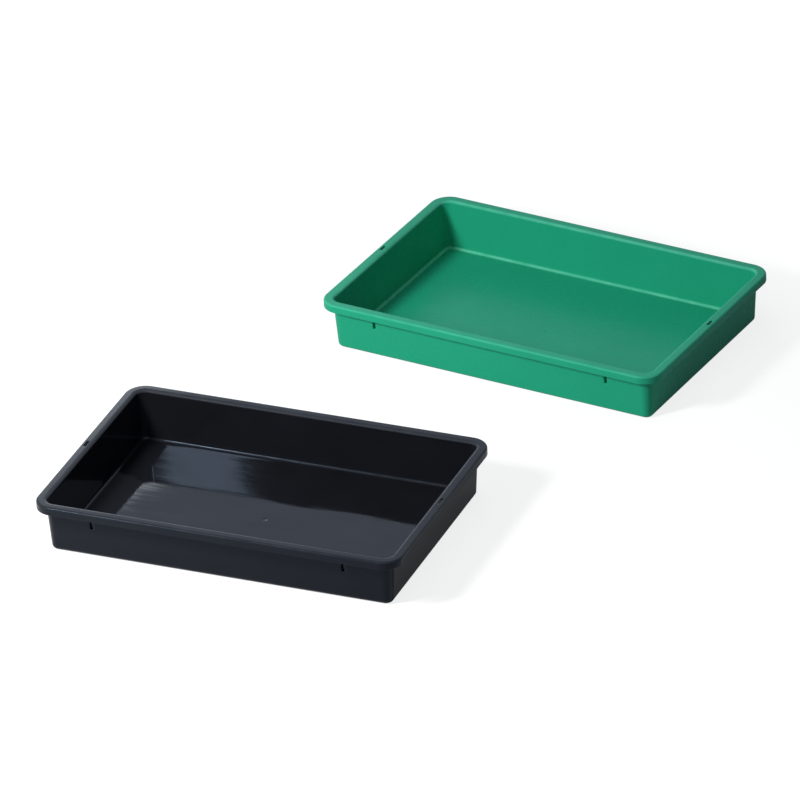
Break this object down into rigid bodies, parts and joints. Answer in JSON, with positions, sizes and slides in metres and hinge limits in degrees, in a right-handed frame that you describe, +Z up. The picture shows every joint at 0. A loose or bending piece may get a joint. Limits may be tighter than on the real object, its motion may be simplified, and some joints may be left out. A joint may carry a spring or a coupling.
{
  "type": "potting tray set",
  "caption": "Shallow rectangular moulded plastic potting trays with drafted walls and a turned-down hollow rim, open on top, to hold potting soil, pots or seedlings.",
  "frame": {"origin": "on the surface that the trays stand on, at the middle of the pair's box", "axes": "+Z up; +X along the black tray's long sides; +Y from the black tray's front towards the green tray behind it"},
  "size_m": [0.8156, 1.1174, 0.085],
  "materials": {
    "black_plastic": "glossy moulded polypropylene",
    "green_plastic": "satin moulded polypropylene"
  },
  "bodies": {
    "black_tray": {"black_tray": "black_plastic"},
    "green_tray": {"green_tray": "green_plastic"}
  },
  "joints": [
    {"name": "green_lift", "type": "slide", "parent": "black_tray", "child": "green_tray", "axis": [0, 0, 1], "range_m": [0, 0.12]}
  ]
}
